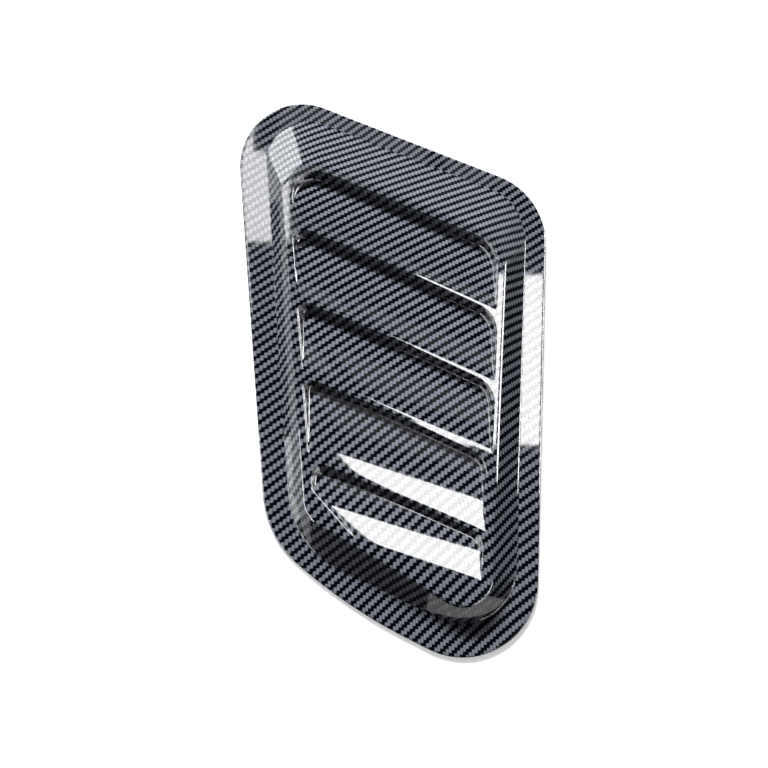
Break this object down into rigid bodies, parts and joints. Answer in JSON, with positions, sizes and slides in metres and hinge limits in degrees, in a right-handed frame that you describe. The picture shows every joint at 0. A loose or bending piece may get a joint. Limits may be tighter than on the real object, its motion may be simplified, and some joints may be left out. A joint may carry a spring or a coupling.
{
  "type": "side vent trim",
  "caption": "Side vent trim for a car body: a flat flange round a raised body with closed, stepped louvres, one moulded shell with a gloss carbon-weave print.",
  "frame": {"origin": "centre of the flange's bounding box, on the flat back of the flange", "axes": "+Z out of the panel that the trim is stuck to, +Y along the trim's length towards the end with the long ramp, +X across it"},
  "size_m": [0.21, 0.38, 0.016],
  "materials": {
    "carbon_print": "gloss"
  },
  "bodies": {
    "root": {"vent_trim": "carbon_print"}
  },
  "joints": []
}
